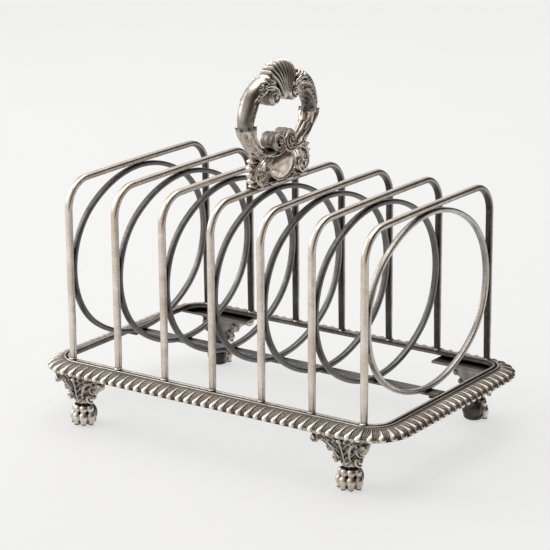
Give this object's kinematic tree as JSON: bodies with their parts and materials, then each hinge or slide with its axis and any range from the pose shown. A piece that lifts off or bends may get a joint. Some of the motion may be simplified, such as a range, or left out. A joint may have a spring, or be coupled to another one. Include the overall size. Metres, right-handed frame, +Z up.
{
  "type": "toast rack",
  "caption": "Open gadrooned tray frame on paw feet carrying upright wire hoops with oval rings that part the toast slices, lifted by a cast ring handle on the middle hoop.",
  "frame": {"origin": "on the table, under the middle of the rack", "axes": "+X along the row of hoops, +Y across the rack towards its back, +Z up"},
  "size_m": [0.1764, 0.113, 0.1545],
  "materials": {
    "plate_frame": "aged silver plate over copper alloy, soft polish",
    "plate_border": "aged silver plate over copper alloy, bright lobes and dark recesses",
    "plate_wire": "aged silver plate over copper alloy, worn polish",
    "plate_cast": "aged silver plate on cast ornament, dark recesses"
  },
  "bodies": {
    "root": {"base_frame": "plate_frame", "gadroon_front": "plate_border", "gadroon_back": "plate_border", "gadroon_left": "plate_border", "gadroon_right": "plate_border", "centre_strip": "plate_wire", "hoop_1": "plate_wire", "hoop_2": "plate_wire", "hoop_3": "plate_wire", "hoop_4": "plate_wire", "hoop_5": "plate_wire", "hoop_6": "plate_wire", "hoop_7": "plate_wire", "ring_1": "plate_wire", "ring_2": "plate_wire", "ring_3": "plate_wire", "ring_4": "plate_wire", "ring_5": "plate_wire", "ring_6": "plate_wire", "ring_7": "plate_wire", "foot_front_left": "plate_cast", "foot_front_right": "plate_cast", "foot_back_left": "plate_cast", "foot_back_right": "plate_cast", "handle_bracket": "plate_cast", "handle_ring": "plate_cast"}
  },
  "joints": []
}
